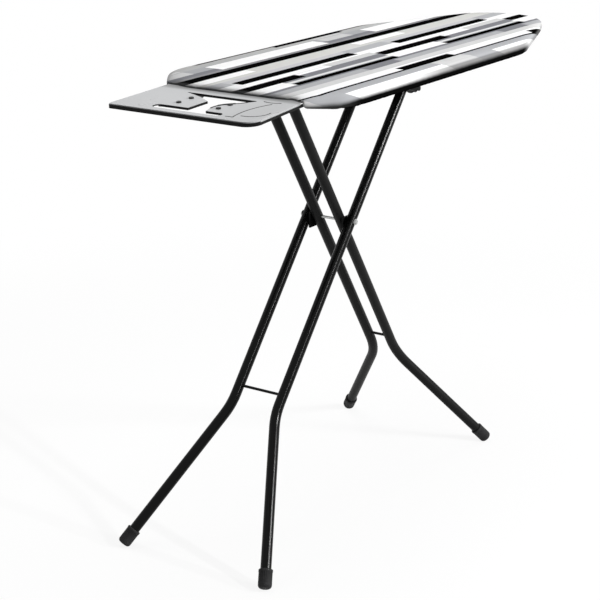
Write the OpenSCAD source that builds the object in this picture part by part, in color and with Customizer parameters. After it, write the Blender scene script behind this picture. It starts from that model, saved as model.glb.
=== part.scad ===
// Folding ironing board: padded board, iron rest, two crossed pairs of bent legs.
// X runs from the heel (iron rest) to the nose, Y across the board, Z up from the floor.
// The origin lies on the floor under the middle of the overall length.

/* [Board] */
// Height of the ironing surface above the floor
surface_h = 951; // [900:1:990]
// Length of the padded board, without the iron rest
board_l = 1220; // [1000:5:1470]
// Width of the padded board
board_w = 444; // [400:2:534]
// Radius of the two heel corners in plan
heel_r = 130; // [80:1:180]
// Radius of the shoulders where the taper begins
shoulder_r = 165; // [60:1:220]
// Radius of the nose in plan
nose_r = 122; // [70:1:150]
// Angle of the tapered sides to the length
taper_deg = 19.3; // [14:0.1:24]
// Radius of the board's edge in section
edge_r = 12; // [8:0.5:14]
// Height of the padded edge, from hem to surface
edge_h = 30; // [25:1:40]

/* [Pad and cover] */
// Thickness of the cover cloth
cover_t = 1.2; // [0.8:0.1:2]
// Thickness of the felt pad
pad_t = 6.5; // [4:0.5:9]
// Gap between a soft piece and its neighbour
soft_gap = 0.3; // [0.1:0.1:0.6]
// Width of the hem turned under the rim
hem_w = 25; // [12:1:40]
// Diameter of the draw cord in the hem
hem_cord_d = 3.5; // [2:0.5:5]

/* [Deck] */
// Thickness of the perforated steel deck
deck_t = 0.7; // [0.5:0.1:2]
// Diameter of the steam holes
vent_d = 17; // [8:1:24]
// Spacing of the steam holes
vent_pitch = 44; // [34:1:70]
// Thickness of the rim's steel strip
rim_t = 1.2; // [0.8:0.1:3]
// Width of the rim's lower lip
rim_lip = 8; // [4:1:16]
// Depth of the cross rails
rail_h = 8.8; // [6:0.2:12]
// Width of the cross rails
rail_w = 36; // [24:1:50]
// Wall of the cross rails
rail_t = 1.2; // [0.8:0.1:2.5]

/* [Legs] */
// Diameter of the leg tubes
tube_d = 22; // [16:0.5:27]
// Wall of the leg tubes
tube_t = 1; // [0.8:0.1:2]
// Height of the crossing pivot above the floor
pivot_h = 615; // [560:1:650]
// Distance of the crossing pivot from the heel edge
pivot_from_heel = 355; // [320:1:420]
// Angle of the outer legs to the floor
outer_deg = 50.2; // [46:0.1:56]
// Angle of the inner legs to the floor
inner_deg = 56; // [50:0.1:60]
// Distance between the outer tubes, axis to axis
outer_w = 109; // [100:1:140]
// Gap between an outer and an inner tube
leg_gap = 4.5; // [3:0.5:10]
// Distance of the outer legs' bend below the pivot
outer_bend = 451; // [380:1:520]
// Distance of the inner legs' bend below the pivot
inner_bend = 455; // [410:1:520]
// Spread of the outer feet, axis to axis
outer_feet_w = 359; // [280:1:420]
// Spread of the inner feet, axis to axis
inner_feet_w = 396; // [300:1:440]
// Radius of the bends on the tube's axis
bend_r = 150; // [60:5:200]
// Drop of the upper pivots below the ironing surface
top_drop = 42; // [38:1:60]
// Length of tube past its upper pivot
tube_end = 12; // [8:1:16]
// Diameter of the thin crossbars
bar_d = 6; // [4:0.5:9]
// Distance of the crossbars above the bends
bar_up = 19; // [12:1:60]

/* [Foot caps] */
// Wall of the foot caps
cap_t = 3.4; // [2:0.1:5]
// Length of the foot caps
cap_l = 38; // [28:1:55]
// Thickness of the foot caps' ends
cap_end_t = 7; // [4:0.5:10]
// Radius of the foot caps' lower edge
cap_edge_r = 7; // [3:0.5:9]
// Depth of the flat worn under each cap
cap_flat = 1.2; // [0.5:0.1:2]

/* [Pins and rack] */
// Diameter of the three cross rods
rod_d = 6; // [5:0.5:10]
// Clearance of a rod in its hole, on the radius
rod_fit = 0.05; // [0.02:0.01:0.1]
// Side play between stacked pieces on a rod
side_play = 0.25; // [0.1:0.05:0.5]
// Diameter of the push nuts
nut_d = 14; // [12:0.5:18]
// Height of the push nuts
nut_h = 3.5; // [2.5:0.5:6]
// Width of the plastic spacers at the crossing
spacer_w = 26; // [20:1:28]
// Height of the spacers above the pivot
spacer_up = 9; // [7:0.5:14]
// Depth of the spacers below the pivot
spacer_down = 26; // [9:0.5:28]
// Thickness of the rack cheeks
rack_t = 2.5; // [2:0.1:4]
// Gap between an outer tube and the rack cheek
rack_gap = 2.5; // [2:0.1:5]
// Width of the rack cheeks' upper flange
rack_flange = 16; // [12:1:24]
// Free height of the rack slot below the rod's rest place
slot_drop = 5.4; // [5:0.1:8]
// Clearance at the rod in the rack slot
slot_fit = 0.3; // [0.1:0.1:0.6]
// Number of height notches
notch_count = 7; // [4:1:8]
// Spacing of the height notches
notch_pitch = 34; // [28:1:40]
// Angle at which the folded inner legs stop under the board
fold_stop = 1.6; // [1.5:0.1:4]
// Radius of the lobe at the heel end of each cheek
lobe_r = 36; // [28:1:44]

/* [Release lever] */
// Drop of the lever pin below the upper pivots
lever_drop = 43; // [40:1:50]
// Distance of the lever pin from the slide rod, towards the heel
lever_back = 8; // [0:1:14]
// Diameter of the lever pin
lever_pin_d = 6; // [4:0.5:8]
// Length of the lever arm
lever_l = 92; // [70:1:120]
// Angle of the lever arm to the board
lever_deg = 15; // [8:1:20]
// Width of the lever arm
lever_w = 15; // [12:1:20]
// Length of the lever grip
grip_l = 66; // [50:1:90]
// Width of the lever grip
grip_w = 26; // [18:1:34]
// Height of the lever grip
grip_h = 18; // [14:1:24]

/* [Iron rest] */
// Reach of the iron rest outside the heel
rest_out = 171; // [140:1:220]
// Width of the rest's plate at its front
rest_w = 330; // [280:1:360]
// Narrowing of each side between the front and the heel
rest_flare = 6; // [0:0.5:12]
// Length of the plate tucked under the deck
rest_tuck = 20; // [14:1:30]
// Slope of the iron rest
rest_tilt = 3.1; // [1:0.1:5]
// Gap between the tucked plate and the deck
rest_gap = 1.6; // [1:0.1:3]
// Thickness of the plate
rest_t = 1.2; // [0.8:0.1:2]
// Depth of the plate's side flanges
rest_flange = 4.2; // [3:0.1:10]
// Depth of the plate's rolled front edge
rest_edge = 2.2; // [1.5:0.1:3.5]
// Radius of the plate's near front corner
rest_r = 26; // [8:1:40]
// Radius of the plate's far front corner
rest_r_far = 7; // [5:1:40]
// Depth of the black frame under the plate
frame_h = 6.8; // [5:0.1:14]
// Thickness of the black frame
frame_t = 4; // [3:0.5:6]
// Overhang of the frame around the plate
frame_out = 1.5; // [0.5:0.5:3]
// Depth of the lips turned down inside the cut-out
lip_h = 1.6; // [1:0.1:5]
// Diameter of the silicone studs
stud_d = 10; // [6:1:14]
// Height of the silicone studs
stud_h = 2.5; // [1.5:0.5:4]

/* [Hidden] */
$fn = 64;
cut = 1;             // how far a cutting shape runs past the surface it cuts

// board in plan
overall_l = board_l + rest_out;
heel_x = rest_out - overall_l / 2;
nose_x = overall_l / 2;
half_w = board_w / 2;
heel_c = [heel_x + heel_r, half_w - heel_r];
nose_c = [nose_x - nose_r, 0];
shoulder_y = half_w - shoulder_r;
shoulder_c = [
    nose_c[0] + (nose_r - shoulder_r - cos(taper_deg) * shoulder_y) / sin(taper_deg),
    shoulder_y
];
taper_n = [sin(taper_deg), cos(taper_deg)];

// board in section
deck_top = surface_h - cover_t - soft_gap - pad_t;
deck_under = deck_top - deck_t;
rail_under = deck_under - rail_h;
hem_z = surface_h - edge_h;
rim_in = cover_t + soft_gap + 1.2;    // the rim's outer face, in from the cover's
rim_under = hem_z + cover_t + soft_gap;

// legs
pivot_x = heel_x + pivot_from_heel;
top_z = surface_h - top_drop;
rise = top_z - pivot_h;
outer_up = rise / sin(outer_deg);     // outer legs, pivot to slide rod
inner_up = rise / sin(inner_deg);     // inner legs, pivot to heel hinge
slide_x = pivot_x + outer_up * cos(outer_deg);
hinge_x = pivot_x - inner_up * cos(inner_deg);
tube_r = tube_d / 2;
inner_w = outer_w - 2 * (tube_d + leg_gap);
rod_r = rod_d / 2;
outer_face = outer_w / 2 + tube_r;    // outermost faces of the leg tubes
inner_face = inner_w / 2 + tube_r;
bend_swell = 0.06;                    // extra radius of a bend, so that it joins the straight parts
fold_stop_outer = asin(inner_up * sin(fold_stop) / outer_up);
slide_x_folded = hinge_x + inner_up * cos(fold_stop) + outer_up * cos(fold_stop_outer);

// rack
rack_y = outer_face + rack_gap;       // inner face of a cheek
rack_x0 = slide_x - 60;
rack_x1 = slide_x_folded + rod_r + slot_fit + 22;
slot_top = top_z + rod_r + slot_fit;
slot_under = top_z - rod_r - slot_drop;
rack_under = slot_under - 8;
lobe_c = [slide_x - 20, rack_under];
rack_rivet_x = [rack_x0 + 14, slide_x + 70, slide_x + 180, rack_x1 - 14];
rack_rivet_y = rack_y + rack_t + (rack_flange - rack_t) / 2;
rivet_d = 6;
rivet_head_d = 10;
rivet_head_h = 2.2;

// cross rails, clear of the rack
rail_x = [hinge_x, rack_x0 - rail_w / 2 - 8, rack_x1 + rail_w / 2 + 8];

// heel bracket
ear_t = 2.5;
ear_y = inner_w / 2 - tube_r - side_play - ear_t;   // inner face of an ear
bracket_l = 46;
bracket_t = 2;
bracket_rivet_x = 17;

// lever
lever_c = [slide_x - lever_back, top_z - lever_drop];
lever_y = rack_y + rack_t + side_play;
lever_t = 2.5;

// iron rest
rest_in_z = deck_under - rest_gap;
plate_out = rest_out - frame_out;
rest_l = (plate_out + rest_tuck) / cos(rest_tilt);
rest_front = [heel_x - plate_out, rest_in_z - (plate_out + rest_tuck) * tan(rest_tilt)];
frame_l = rest_l + 34;
flange_x = max(rest_r, rest_r_far);
studs = [[65, 47], [103, 46], [60, -48], [93, -51]];
rest_screw_y = 92;
rest_screw_d = 5;

// ---------- shapes that several pieces share ----------

// Points of an arc about c from angle a0 to a1, in n steps.
function arc(c, r, a0, a1, n) = [for (k = [0:n]) let (a = a0 + (a1 - a0) * k / n) c + r * [cos(a), sin(a)]];

// The board's plan outline, set in by i: one side from the nose to the heel, then its mirror image.
function side_points(i) = concat(
    arc(nose_c, nose_r - i, 0, 90 - taper_deg, 8),
    arc(shoulder_c, shoulder_r - i, 90 - taper_deg, 90, 3),
    arc(heel_c, heel_r - i, 90, 180, 11)
);
function mirrored(list) = [for (k = [len(list) - 1:-1:1]) [list[k][0], -list[k][1]]];

module outline(i) { polygon(concat(side_points(i), mirrored(side_points(i)))); }

// Half the board's width at x, on the straight and tapered sides.
function half_width(x) = min(half_w, (nose_r + taper_n[0] * (nose_c[0] - x)) / taper_n[1]);

// A slab of the board's outline from z0 to z1, its edge rounded by r above and below.
module rounded_slab(i, z0, z1, r) {
    layer = 0.2;
    hull() {
        translate([0, 0, z0 + r]) linear_extrude(z1 - z0 - 2 * r) outline(i);
        for (a = [30:30:90]) {
            translate([0, 0, z1 - r + r * sin(a) - layer]) linear_extrude(layer) outline(i + r * (1 - cos(a)));
            translate([0, 0, z0 + r - r * sin(a)]) linear_extrude(layer) outline(i + r * (1 - cos(a)));
        }
    }
}

// A round bar along Y from y0 to y1 through the point p = [x, z].
module bar_y(p, r, y0, y1) {
    translate([p[0], y0, p[1]]) rotate([-90, 0, 0]) cylinder(r = r, h = y1 - y0);
}

// A plate in the XZ plane, from y0 to y1.
module plate_y(y0, y1) {
    translate([0, y1, 0]) rotate([90, 0, 0]) linear_extrude(y1 - y0) children();
}

// A push nut on a rod's end: a washer with a raised collar, its flat face at y0, facing away along s.
module push_nut(p, y0, s, d) {
    translate([p[0], y0, p[1]]) rotate([-90 * s, 0, 0]) difference() {
        union() {
            cylinder(d = d, h = nut_h * 0.4);
            cylinder(r = rod_r + 1.5, h = nut_h);
        }
        translate([0, 0, -cut]) cylinder(r = rod_r + rod_fit, h = nut_h + 2 * cut);
    }
}

// A rivet hanging from p = [x, y, z], its shank running up by grip from there.
module rivet(p, grip) {
    translate([p[0], p[1], p[2] - rivet_head_h]) {
        cylinder(d = rivet_head_d, h = rivet_head_h);
        cylinder(d = rivet_d, h = rivet_head_h + grip);
    }
}

// ---------- board ----------

module vents() {
    rows = floor((half_w - 40) / vent_pitch);
    for (row = [-rows:rows])
        let (y = row * vent_pitch, shift = abs(row) % 2 * vent_pitch / 2)
            for (x = [heel_x + 62 + shift:vent_pitch:nose_x - 40])
                if (vent_clear(x, y)) translate([x, y]) circle(d = vent_d);
}

// A steam hole stays inside the rim and clear of the rails, rack, bracket and rest.
function vent_clear(x, y) =
    abs(y) < half_width(x + vent_d) - 30
    && norm([max(0, x - nose_c[0]), max(0, x - nose_c[0]) > 0 ? y : 0]) < nose_r - 30
    && min([for (r = rail_x) abs(x - r)]) > rail_w / 2 + vent_d / 2 + 2
    && !(x > rack_x0 - vent_d && x < rack_x1 + vent_d && abs(abs(y) - rack_rivet_y) < vent_d / 2 + rack_flange / 2 + 2);

module deck() {
    color("gainsboro") translate([0, 0, deck_under]) linear_extrude(deck_t) difference() {
        outline(rim_in + rim_t + side_play);
        vents();
        for (x = rack_rivet_x, s = [-1, 1]) translate([x, s * rack_rivet_y]) circle(d = rivet_d);
        for (s = [-1, 1]) translate([heel_x + rest_tuck / 2, s * rest_screw_y]) circle(d = rest_screw_d);
    }
}

// The opening in the heel edge through which the iron rest passes.
module rest_window(below, above) {
    reach = edge_r + hem_w + hem_cord_d + 6;
    side = rest_side(rest_out) + frame_out + 1.5;
    translate([heel_x - cut, -side, below]) cube([reach + cut, 2 * side, above - below]);
}

module rim() {
    bend = edge_r - rim_in;
    color("dimgray") difference() {
        rounded_slab(rim_in, rim_under, surface_h + bend, bend);
        rounded_slab(rim_in + rim_t, rim_under + rim_t, surface_h + bend, bend - rim_t);
        translate([0, 0, rim_under - cut]) linear_extrude(rim_t + 2 * cut) outline(edge_r + rim_lip);
        translate([-overall_l, -board_w, deck_top]) cube([2 * overall_l, 2 * board_w, edge_h]);
        rest_window(rim_under - cut, deck_top + cut);
    }
}

module pad() {
    color("whitesmoke") translate([0, 0, deck_top]) linear_extrude(pad_t) outline(edge_r);
}

module cover() {
    color("lightgray") difference() {
        rounded_slab(0, hem_z, surface_h, edge_r);
        rounded_slab(cover_t, hem_z + cover_t, surface_h - cover_t, edge_r - cover_t);
        translate([0, 0, hem_z - cut]) linear_extrude(cover_t + 2 * cut) outline(edge_r + hem_w);
        rest_window(hem_z - cut, rest_in_z + 1);
    }
}

module hem_cord() {
    inner = edge_r + hem_w + hem_cord_d;
    color("white") difference() {
        translate([0, 0, hem_z]) linear_extrude(hem_cord_d) difference() {
            outline(edge_r + hem_w);
            outline(inner);
        }
        rest_window(hem_z - cut, rest_in_z + 1);
    }
}

// A cross rail: a shallow channel, open against the deck.
module rail(x) {
    reach = half_width(x + rail_w / 2) - rim_in - rim_t - 1;
    color("dimgray") difference() {
        translate([x - rail_w / 2, -reach, rail_under]) cube([rail_w, 2 * reach, rail_h]);
        translate([x - rail_w / 2 + rail_t, -reach + rail_t, rail_under + rail_t])
            cube([rail_w - 2 * rail_t, 2 * (reach - rail_t), rail_h]);
        if (x == hinge_x) for (s = [-1, 1]) translate([x + s * bracket_rivet_x, 0, rail_under - cut])
            cylinder(d = rivet_d, h = rail_t + 2 * cut);
    }
}
module rail_heel() rail(rail_x[0]);
module rail_mid() rail(rail_x[1]);
module rail_nose() rail(rail_x[2]);

// ---------- heel hinge ----------

module heel_bracket() {
    ear_r = rod_r + 6;
    color("black") difference() {
        union() {
            translate([hinge_x - bracket_l / 2, -ear_y - ear_t, rail_under - bracket_t])
                cube([bracket_l, 2 * (ear_y + ear_t), bracket_t]);
            for (s = [0, 1]) mirror([0, s, 0]) plate_y(ear_y, ear_y + ear_t) {
                translate([hinge_x, top_z]) circle(ear_r);
                translate([hinge_x - ear_r, top_z]) square([2 * ear_r, rail_under - bracket_t / 2 - top_z]);
            }
        }
        bar_y([hinge_x, top_z], rod_r + rod_fit, -inner_w, inner_w);
        for (s = [-1, 1]) translate([hinge_x + s * bracket_rivet_x, 0, rail_under - bracket_t - cut])
            cylinder(d = rivet_d, h = bracket_t + 2 * cut);
    }
}

module bracket_rivets() {
    for (s = [-1, 1])
        color("silver") rivet([hinge_x + s * bracket_rivet_x, 0, rail_under - bracket_t], bracket_t + rail_t);
}

module hinge_rod() {
    reach = inner_face + side_play + nut_h - 0.5;
    color("silver") bar_y([hinge_x, top_z], rod_r, -reach, reach);
}

module hinge_nuts() {
    color("silver") for (s = [-1, 1])
        push_nut([hinge_x, top_z], s * (inner_face + side_play), s, nut_d);
}

// ---------- height rack ----------

module cheek(pin_hole) {
    difference() {
        union() {
            plate_y(rack_y, rack_y + rack_t) {
                translate([rack_x0, rack_under]) square([rack_x1 - rack_x0, deck_under - rack_under]);
                translate(lobe_c) circle(lobe_r);
            }
            translate([rack_x0, rack_y + rack_t / 2, deck_under - rack_t])
                cube([rack_x1 - rack_x0, rack_flange - rack_t / 2, rack_t]);
        }
        plate_y(rack_y - cut, rack_y + rack_t + cut) {
            translate([slide_x - rod_r - slot_fit, slot_under])
                square([slide_x_folded - slide_x + 2 * (rod_r + slot_fit), slot_top - slot_under]);
            for (n = [0:notch_count - 1])
                translate([slide_x + n * notch_pitch, slot_top]) circle(rod_r + 2 * slot_fit);
        }
        for (x = rack_rivet_x) translate([x, rack_rivet_y, deck_under - rack_t - cut])
            cylinder(d = rivet_d, h = rack_t + 2 * cut);
        if (pin_hole) bar_y(lever_c, lever_pin_d / 2, rack_y - cut, rack_y + rack_t + cut);
    }
}
module rack_near() { color("black") mirror([0, 1, 0]) cheek(true); }
module rack_far() { color("black") cheek(false); }

module rack_rivets() {
    for (x = rack_rivet_x, s = [-1, 1])
        color("silver") rivet([x, s * rack_rivet_y, deck_under - rack_t], rack_t + deck_t);
}

// ---------- release lever, outside the near cheek ----------

module lever_pin() {
    color("silver") {
        bar_y(lever_c, lever_pin_d / 2, -lever_y - lever_t - 7, -rack_y + 1);
        bar_y(lever_c, lever_pin_d / 2 + 2.5, -lever_y - lever_t - 9, -lever_y - lever_t - 7);
    }
}

module lever_spring() {
    wire = 1.5;
    coil = lever_pin_d / 2 + wire / 2 + rod_fit;
    color("silver") for (n = [0:2])
        translate([lever_c[0], -lever_y - lever_t - side_play - (n + 0.5) * (wire + 0.2), lever_c[1]])
            rotate([90, 0, 0]) rotate_extrude() translate([coil, 0]) circle(d = wire, $fn = 24);
}

// Places its children on the lever's arm, x along the arm from the pin.
module on_lever() {
    translate([lever_c[0], 0, lever_c[1]]) rotate([0, 180 + lever_deg, 0]) mirror([0, 0, 1]) children();
}

module lever_arm() {
    color("black") difference() {
        on_lever() plate_y(-lever_y - lever_t, -lever_y) {
            circle(lever_w / 2 + 2);
            translate([0, -lever_w / 2]) square([lever_l, lever_w]);
        }
        bar_y(lever_c, lever_pin_d / 2 + rod_fit, -lever_y - lever_t - cut, -lever_y + cut);
    }
}

module lever_grip() {
    grip_y = -lever_y - lever_t - side_play;
    color("black") on_lever() difference() {
        plate_y(grip_y - grip_w, grip_y + lever_t + side_play) {
            translate([lever_l, 0]) circle(d = grip_h);
            translate([lever_l - grip_l + grip_h, 0]) circle(d = grip_h);
            translate([lever_l - grip_l + grip_h, -grip_h / 2]) square([grip_l - grip_h, grip_h]);
        }
        plate_y(-lever_y - lever_t - rod_fit, -lever_y + 1)
            translate([-cut, -lever_w / 2 - rod_fit]) square([lever_l + cut + rod_fit, lever_w + 2 * rod_fit]);
    }
}

// ---------- iron rest ----------

// Places its children on the rest: x from the front edge, z up from the plate's upper face.
module on_rest() {
    translate([rest_front[0], 0, rest_front[1]]) rotate([0, -rest_tilt, 0]) children();
}

// The rest's plan outline, set in by i and cut off at x = length.
function rest_side(x) = rest_w / 2 - rest_flare * x / rest_out;
function rest_edge_points(i, length, r) = concat(
    [[length, rest_side(length) - i]],
    arc([r, rest_side(r) - r], r - i, 90, 180, 6)
);
module rest_outline(i, length) {
    near = rest_edge_points(i, length, rest_r);
    polygon(concat(
        rest_edge_points(i, length, rest_r_far),
        [for (k = [len(near) - 1:-1:0]) [near[k][0], -near[k][1]]]
    ));
}

// The cut-out: a slot at the front, a slot at the back and a crossing between them.
cutout = [
    [17, 68], [20, 75], [24, 78], [33, 79], [39, 75], [41, 68],
    [41, 8], [100, 6], [121, 38], [137, 74], [139, 82], [142, 82],
    [142, -78], [138, -79], [116, -63], [86, -33], [55, -31], [36.5, -36],
    [36.5, -72], [32, -78], [23, -80], [17, -74]
];
// A closed outline grown outwards by t, with its corners kept sharp.
function grown(list, t) = [for (k = [0:len(list) - 1])
    let (
        a = list[(k + len(list) - 1) % len(list)], b = list[k], c = list[(k + 1) % len(list)],
        u = (b - a) / norm(b - a), v = (c - b) / norm(c - b),
        out = [-u[1] - v[1], u[0] + v[0]]
    ) b + t * out / (1 + u * v)
];

module rest_plate() {
    color("lightgray") on_rest() difference() {
        union() {
            translate([0, 0, -rest_t]) linear_extrude(rest_t) rest_outline(0, rest_l);
            translate([0, 0, -rest_flange]) linear_extrude(rest_flange) difference() {
                rest_outline(0, plate_out - 4);
                rest_outline(rest_t, rest_out);
            }
            translate([0, 0, -rest_t - lip_h]) linear_extrude(rest_t + lip_h) polygon(grown(cutout, rest_t));
        }
        translate([0, 0, -rest_t - lip_h - cut]) linear_extrude(rest_t + lip_h + 2 * cut) polygon(cutout);
        translate([0, 0, -rest_t - cut]) linear_extrude(rest_t + 2 * cut) {
            for (s = [-1, 1]) translate([plate_out + rest_tuck / 2, s * rest_screw_y]) circle(d = rest_screw_d + 1);
            for (p = studs) translate(p) circle(d = stud_d - 4);
        }
        translate([-cut, -rest_w, -rest_flange - cut])
            cube([flange_x + cut, 2 * rest_w, rest_flange + cut - rest_edge]);
    }
}

// The frame runs under the plate's front edge and under its side flanges.
module rest_frame() {
    color("black") on_rest() difference() {
        translate([0, 0, -rest_edge - frame_h]) linear_extrude(frame_h) difference() {
            rest_outline(-frame_out, frame_l);
            rest_outline(frame_t, frame_l + cut);
        }
        translate([flange_x - side_play, -rest_w, -rest_flange - side_play]) cube([frame_l, 2 * rest_w, rest_flange]);
    }
}

module rest_studs() {
    color("black") on_rest() for (p = studs) translate([p[0], p[1], 0]) {
        cylinder(d = stud_d, h = stud_h);
        translate([0, 0, -rest_t]) cylinder(d = stud_d - 4, h = rest_t + cut);
        translate([0, 0, -rest_t - 1.5]) cylinder(d = stud_d - 2, h = 1.5);
    }
}

module rest_screws() {
    head_d = 9;
    head_h = 2.4;
    head_z = rest_in_z - rest_t - (rest_tuck + head_d) / 2 * tan(rest_tilt) - rod_fit - head_h;
    for (s = [-1, 1]) color("silver") translate([heel_x + rest_tuck / 2, s * rest_screw_y, head_z]) {
        cylinder(d = head_d, h = head_h);
        cylinder(d = rest_screw_d - 0.1, h = deck_top - head_z);
    }
}

// ---------- legs ----------

// Turns a leg built upright with its pivot at the origin to its place; s is 1 for the outer pair.
module as_leg(deg, s) {
    translate([pivot_x, 0, pivot_h]) rotate([0, s * (90 - deg), 0]) children();
}

function splay(deg, width, feet_w, bend) = atan((feet_w - width) / 2 / (pivot_h / sin(deg) - bend));

// Height of a cap's end centre when the cap is cut cap_flat deep by the floor.
function cap_end_z(deg, sp) =
    let (c = sin(deg) * cos(sp), flat_r = tube_r + cap_t - cap_edge_r)
    cap_edge_r * (1 - c) + flat_r * sqrt(1 - c * c) - cap_flat;

// Length from the bend's corner to the cap's end.
function foot_l(deg, sp, bend) = ((pivot_h - cap_end_z(deg, sp)) / sin(deg) - bend) / cos(sp);

// Places its children at the bend's corner of the +Y tube, z along the foot.
module on_foot(width, bend, sp) {
    translate([0, width / 2, -bend]) rotate([180 + sp, 0, 0]) children();
}

// A bent tube. Its bend is drawn bend_swell fuller than the straight parts, which run lap into it.
module tube(up, bend, width, sp, foot) {
    back = bend_r * tan(sp / 2);
    lap = 2;
    difference() {
        union() {
            translate([0, width / 2, -bend + back - lap]) pipe(up + tube_end + bend - back + lap);
            translate([0, width / 2 + bend_r, -bend + back]) rotate([-90, 0, -90])
                rotate_extrude(angle = sp) translate([bend_r, 0]) difference() {
                    circle(tube_r + bend_swell);
                    circle(tube_r - tube_t - bend_swell);
                }
            on_foot(width, bend, sp) translate([0, 0, back - lap]) pipe(foot - cap_end_t - back + lap);
        }
        for (z = [0, up]) bar_y([0, z], rod_r + rod_fit, 0, width);
        bar_y([0, -bend + back + bar_up], bar_d / 2 + rod_fit, 0, width / 2);
    }
}

module pipe(length) {
    difference() {
        cylinder(r = tube_r, h = length);
        translate([0, 0, -cut]) cylinder(r = tube_r - tube_t, h = length + 2 * cut);
    }
}

module plugs(up, width) {
    for (s = [-1, 1]) translate([0, s * width / 2, up + tube_end]) {
        cylinder(r = tube_r, h = 2);
        translate([0, 0, -5]) cylinder(r = tube_r - tube_t - rod_fit, h = 5);
    }
}

module crossbar(bend, width, sp) {
    reach = width / 2 - tube_r + tube_t + 1;
    bar_y([0, -bend + bend_r * tan(sp / 2) + bar_up], bar_d / 2, -reach, reach);
}

module cap(width, bend, sp, foot) {
    cap_r = tube_r + cap_t;
    on_foot(width, bend, sp) translate([0, 0, foot - cap_l]) rotate_extrude() difference() {
        union() {
            square([cap_r, cap_l - cap_edge_r]);
            square([cap_r - cap_edge_r, cap_l]);
            translate([cap_r - cap_edge_r, cap_l - cap_edge_r]) circle(cap_edge_r);
        }
        translate([0, -cut]) square([tube_r + rod_fit, cap_l - cap_end_t + cut]);
    }
}

module on_floor() {
    reach = overall_l;
    intersection() {
        children();
        translate([-reach, -reach, 0]) cube([2 * reach, 2 * reach, reach]);
    }
}

outer_splay = splay(outer_deg, outer_w, outer_feet_w, outer_bend);
inner_splay = splay(inner_deg, inner_w, inner_feet_w, inner_bend);
outer_foot = foot_l(outer_deg, outer_splay, outer_bend);
inner_foot = foot_l(inner_deg, inner_splay, inner_bend);

module inner_tube_far() {
    color("black") as_leg(inner_deg, -1) tube(inner_up, inner_bend, inner_w, inner_splay, inner_foot);
}
module inner_tube_near() { mirror([0, 1, 0]) inner_tube_far(); }
module inner_plugs() { color("black") as_leg(inner_deg, -1) plugs(inner_up, inner_w); }
module inner_crossbar() { color("black") as_leg(inner_deg, -1) crossbar(inner_bend, inner_w, inner_splay); }
module inner_cap_far() {
    color("dimgray") on_floor() as_leg(inner_deg, -1) cap(inner_w, inner_bend, inner_splay, inner_foot);
}
module inner_cap_near() { mirror([0, 1, 0]) inner_cap_far(); }

module outer_tube_far() {
    color("black") as_leg(outer_deg, 1) tube(outer_up, outer_bend, outer_w, outer_splay, outer_foot);
}
module outer_tube_near() { mirror([0, 1, 0]) outer_tube_far(); }
module outer_plugs() { color("black") as_leg(outer_deg, 1) plugs(outer_up, outer_w); }
module outer_crossbar() { color("black") as_leg(outer_deg, 1) crossbar(outer_bend, outer_w, outer_splay); }
module outer_cap_far() {
    color("dimgray") on_floor() as_leg(outer_deg, 1) cap(outer_w, outer_bend, outer_splay, outer_foot);
}
module outer_cap_near() { mirror([0, 1, 0]) outer_cap_far(); }

// ---------- crossing pivot and slide rod ----------

module pivot_axle() {
    reach = outer_face + side_play + nut_h - 0.5;
    color("silver") bar_y([pivot_x, pivot_h], rod_r, -reach, reach);
}

module pivot_spacers() {
    for (s = [0, 1]) color("black") mirror([0, s, 0])
        plate_y(inner_face + side_play, inner_face + leg_gap - side_play) translate([pivot_x, pivot_h]) difference() {
            translate([-spacer_w / 2, -spacer_down]) square([spacer_w, spacer_up + spacer_down]);
            circle(rod_r + rod_fit);
        }
}

module pivot_nuts() {
    color("silver") for (s = [-1, 1])
        push_nut([pivot_x, pivot_h], s * (outer_face + side_play), s, nut_d);
}

module slide_rod() {
    reach = rack_y + rack_t + side_play + nut_h + 1;
    color("silver") bar_y([slide_x, top_z], rod_r, -reach, reach);
}

module slide_washers() {
    y0 = outer_face + side_play;
    y1 = rack_y - side_play;
    for (s = [0, 1]) color("white") mirror([0, s, 0]) difference() {
        bar_y([slide_x, top_z], nut_d / 2, y0, y1);
        bar_y([slide_x, top_z], rod_r + rod_fit, y0 - cut, y1 + cut);
    }
}

module slide_nuts() {
    for (s = [-1, 1]) color("silver")
        push_nut([slide_x, top_z], s * (rack_y + rack_t + side_play), s, nut_d + 6);
}

// ---------- what is drawn ----------

deck();
rim();
pad();
cover();
hem_cord();
rail_heel();
rail_mid();
rail_nose();
heel_bracket();
bracket_rivets();
hinge_rod();
hinge_nuts();
rack_near();
rack_far();
rack_rivets();
rest_plate();
rest_frame();
rest_studs();
rest_screws();
lever_pin();
lever_spring();
lever_arm();
lever_grip();
inner_tube_near();
inner_tube_far();
inner_plugs();
inner_crossbar();
inner_cap_near();
inner_cap_far();
pivot_axle();
pivot_spacers();
pivot_nuts();
outer_tube_near();
outer_tube_far();
outer_plugs();
outer_crossbar();
outer_cap_near();
outer_cap_far();
slide_rod();
slide_washers();
slide_nuts();
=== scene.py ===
import math

import bmesh
import bpy
import numpy as np
from mathutils import Matrix, Vector


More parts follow.
